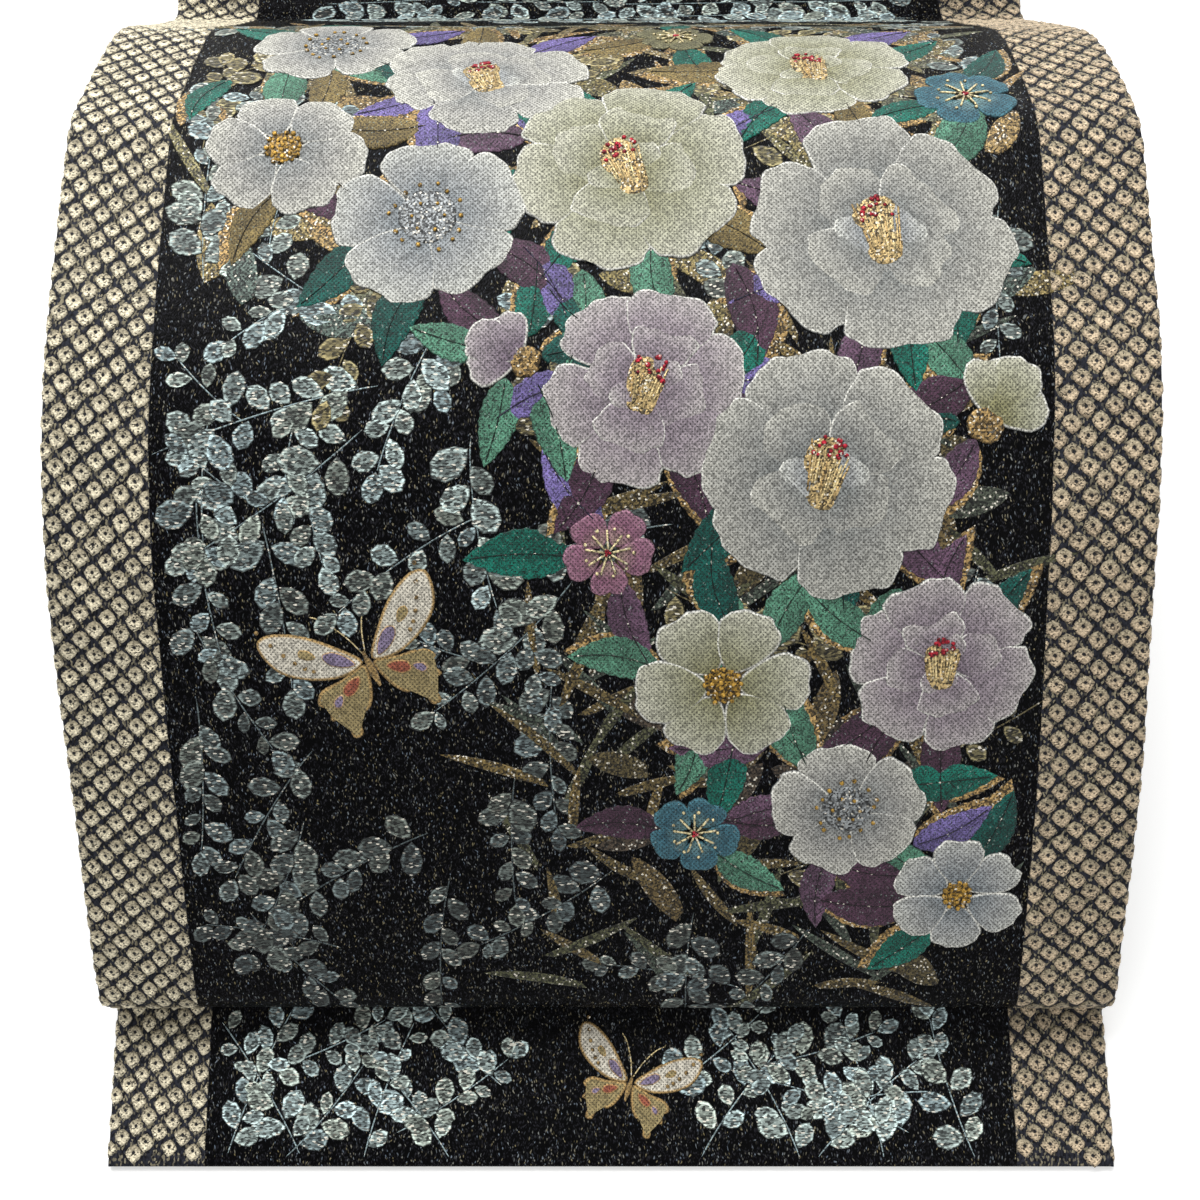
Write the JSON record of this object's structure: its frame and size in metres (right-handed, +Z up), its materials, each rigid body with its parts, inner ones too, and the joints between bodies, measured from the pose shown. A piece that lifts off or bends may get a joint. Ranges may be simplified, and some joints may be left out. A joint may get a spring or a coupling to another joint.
{
  "type": "obi sash",
  "caption": "Formal double-cloth obi sash laid on a table in its drum shape, its free end flat in front and the rest of its length folded behind the open-sided hump.",
  "frame": {"origin": "middle of the footprint, on the table the sash lies on", "axes": "+Z up, +X across the cloth's width to the right, +Y along the cloth's length from the free end to the folded rest"},
  "size_m": [0.3138, 0.7582, 0.1015],
  "materials": {
    "patterned_cloth": "near-black silk satin with fine metallic flecks, cream tie-dye cell bands along both edges and woven flowers",
    "lining_cloth": "plain black twill lining"
  },
  "bodies": {
    "root": {"tare": "patterned_cloth", "under_layer": "lining_cloth", "drum": "patterned_cloth", "run_behind": "patterned_cloth", "folded_rest": "patterned_cloth"}
  },
  "joints": []
}
